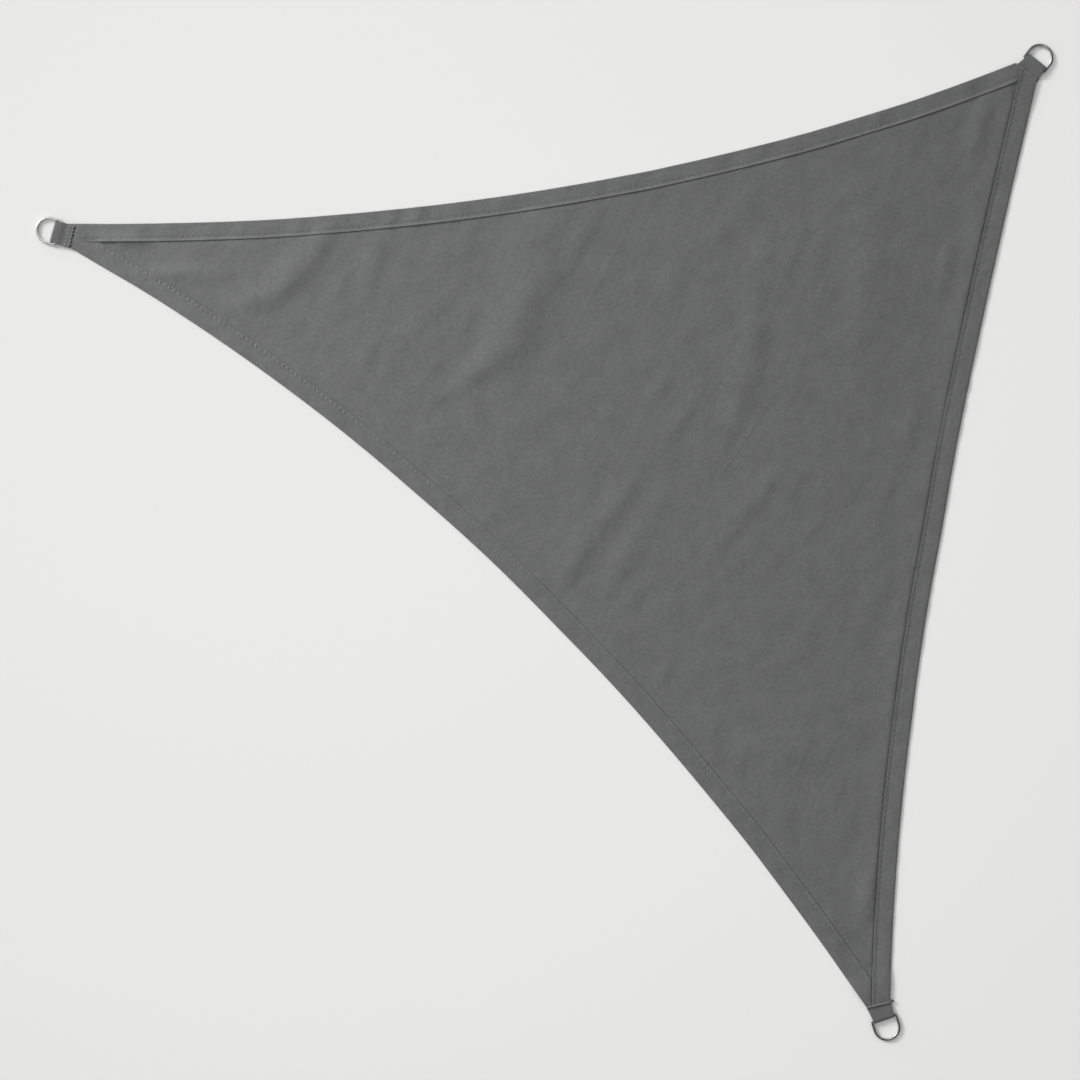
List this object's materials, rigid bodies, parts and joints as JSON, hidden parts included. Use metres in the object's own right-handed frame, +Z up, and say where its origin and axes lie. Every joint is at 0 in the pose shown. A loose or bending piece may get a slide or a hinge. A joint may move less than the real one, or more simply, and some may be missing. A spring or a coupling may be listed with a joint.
{
  "type": "shade sail",
  "caption": "Small triangular shade sail lying flat: grey woven cloth with inward-curving hemmed edges and a folded tab holding a steel D-ring at each corner.",
  "frame": {"origin": "middle of the whole sail's box, on the floor that it lies on", "axes": "+Z up out of the lying cloth, +X along its longest extent from the left corner's ring to the top right corner's ring, +Y towards the top right corner"},
  "size_m": [2.035, 1.993, 0.0082],
  "materials": {
    "sail_cloth": "matte plain-woven polyester",
    "tab_cloth": "matte woven polyester strip",
    "ring_steel": "bright nickel-plated wire"
  },
  "bodies": {
    "root": {"sail": "sail_cloth", "tab_left": "tab_cloth", "tab_top": "tab_cloth", "tab_bottom": "tab_cloth", "ring_left": "ring_steel", "ring_top": "ring_steel", "ring_bottom": "ring_steel"}
  },
  "joints": []
}
